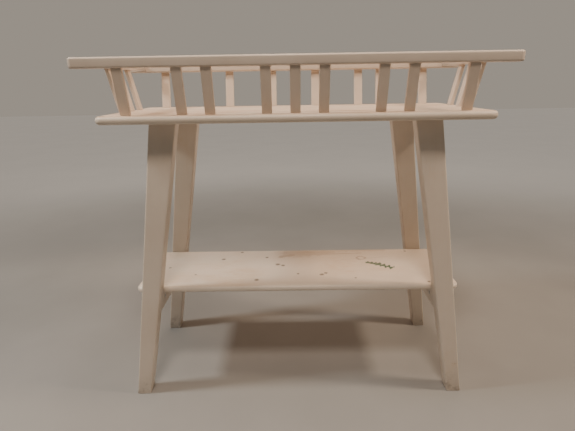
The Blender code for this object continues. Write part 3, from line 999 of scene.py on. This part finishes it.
LAMPS = {                   # place, aimed at, size, power in watts, colour
    "lamp_front": ((-0.05, -1.71, 3.50), (0, 0, 0.55), (0.55, 0.55), 58, (1.0, 0.82, 0.67)),
    "lamp_left": ((-2.00, -0.30, 2.40), (-0.1, 0, 0.4), (0.30, 0.30), 44, (1.0, 0.95, 0.87)),
    "lamp_right": ((2.05, -0.30, 2.40), (0.1, 0, 0.4), (0.30, 0.30), 44, (1.0, 0.77, 0.57)),
    "lamp_above": ((0.0, 0.05, 3.20), (0, 0, 0.9), (0.60, 0.60), 11, (1.0, 0.82, 0.67)),
    "wall_glow": ((0.0, 0.80, 0.95), (0, 0, 0.60), (2.4, 1.3), 5, (1.0, 0.60, 0.36)),
}
ROOM_FRONT = (0.0, 0.0, 0.0)
ROOM_BEHIND = (0.25, 0.21, 0.17)
CEILING = (0.10, 0.085, 0.07)
HORIZON_FRONT = (0.15, 0.14, 0.125)
HORIZON_BEHIND = (0.34, 0.30, 0.255)
FLOOR_PALE = (0.335, 0.335, 0.33)
FLOOR_SHADE = (0.30, 0.30, 0.295)
FLOOR_HALF = 14.0
FAR_GLOW = (1.0, 0.90, 0.78, 1.0)


def soft_light(name, place, aim, size, power, colour):
    data = bpy.data.lights.new(name, "AREA")
    data.shape = "RECTANGLE"
    data.size, data.size_y = size
    data.energy = power
    data.color = colour
    made = bpy.data.objects.new(name, data)
    bpy.context.collection.objects.link(made)
    made.matrix_world = Matrix.Translation(place) @ (
        Vector(aim) - Vector(place)).to_track_quat("-Z", "Y").to_matrix().to_4x4()
    made.visible_camera = False


def light_room():
    """Warm ceiling lamps in front, above and on both sides, and light back off a near wall.

    The room behind the table is pale; the room in front of it is dark above a pale horizon.
    """
    for name, lamp in LAMPS.items():
        soft_light(name, *lamp)
    world = bpy.data.worlds.new("room")
    bpy.context.scene.world = world
    world.use_nodes = True
    tree = world.node_tree
    way = split(tree, tree.nodes.new("ShaderNodeTexCoord").outputs["Generated"])
    behind = between(tree, way[1], -0.3, 0.6)
    room = mixed(tree, behind, ROOM_FRONT, ROOM_BEHIND)
    room = mixed(tree, between(tree, way[2], 0.1, 0.9), room, CEILING)
    horizon = mixed(tree, behind, HORIZON_FRONT, HORIZON_BEHIND)
    tree.links.new(mixed(tree, between(tree, way[2], 0.17, 0.32), horizon, room),
                   tree.nodes["Background"].inputs["Color"])


def lay_floor():
    """Plain pale floor. Away from the table it glows a little, so that it stays pale."""
    shape = bmesh.new()
    bmesh.ops.create_grid(shape, x_segments=2, y_segments=2, size=FLOOR_HALF)
    material, tree, shader, where = open_material("pale_floor")
    clouds = noise(tree, where, 1.6, 4.0, 0.55)
    tree.links.new(mixed(tree, between(tree, clouds, 0.3, 0.7), FLOOR_PALE, FLOOR_SHADE),
                   shader.inputs["Base Color"])
    shader.inputs["Roughness"].default_value = 0.55
    x, y, _ = split(tree, where)
    away = number(tree, "SQRT", number(tree, "ADD", times(tree, x, x), times(tree, y, y)))
    shader.inputs["Emission Color"].default_value = FAR_GLOW
    glow = times(tree, between(tree, away, 1.1, 3.6), between(tree, y, -1.0, 3.5, 0.045, 0.30))
    tree.links.new(glow, shader.inputs["Emission Strength"])
    floor = add_piece("floor", shape, material)


# ---------------------------------------------------------------- the whole table
def dress_table():
    # the rails and slats take a darker tint as painted shade, the shelf a lighter one as painted
    # light
    paints = {
        "tabletop": paint_finish("tabletop_paint", ALONG_X, TOP_TINT, 0.5, marks=top_marks,
                                 rough_range=(0.42, 0.56)),
        "shelf": paint_finish("shelf_paint", ALONG_X, SHELF_PAINTED_LIGHT, 0.4, marks=shelf_marks),
        "long rail": paint_finish("long_rail_paint", ALONG_X, RAIL_PAINTED_SHADE, 0.45),
        "side rail": paint_finish("side_rail_paint", ALONG_Y, RAIL_PAINTED_SHADE, 0.45),
        "leg": paint_finish("leg_paint", ALONG_Z, LEG_TINT, 0.45, scuff_height=0.09),
        "slat": paint_finish("slat_paint", ALONG_Z, SLAT_PAINTED_SHADE, 0.35),
        "stretcher": paint_finish("stretcher_paint", ALONG_Y, LEG_TINT, 0.3),
    }
    steel = steel_finish("cam_steel", CAM_STEEL, 0.38)
    screw_steel = steel_finish("screw_steel", SCREW_STEEL, 0.32)
    make_boards(paints)
    make_rails(paints)
    bar = bar_tree()
    one = single_bar_tree(bar)
    make_legs(one, paints)
    slat_rows(slat_row_tree(bar), paints)
    make_stretchers(one, paints)
    make_fittings(fittings_tree(), steel, screw_steel)
    finish_hidden_fittings(steel, beech_finish("dowel_beech", ALONG_Y))


dress_table()
place_camera()
light_room()
lay_floor()
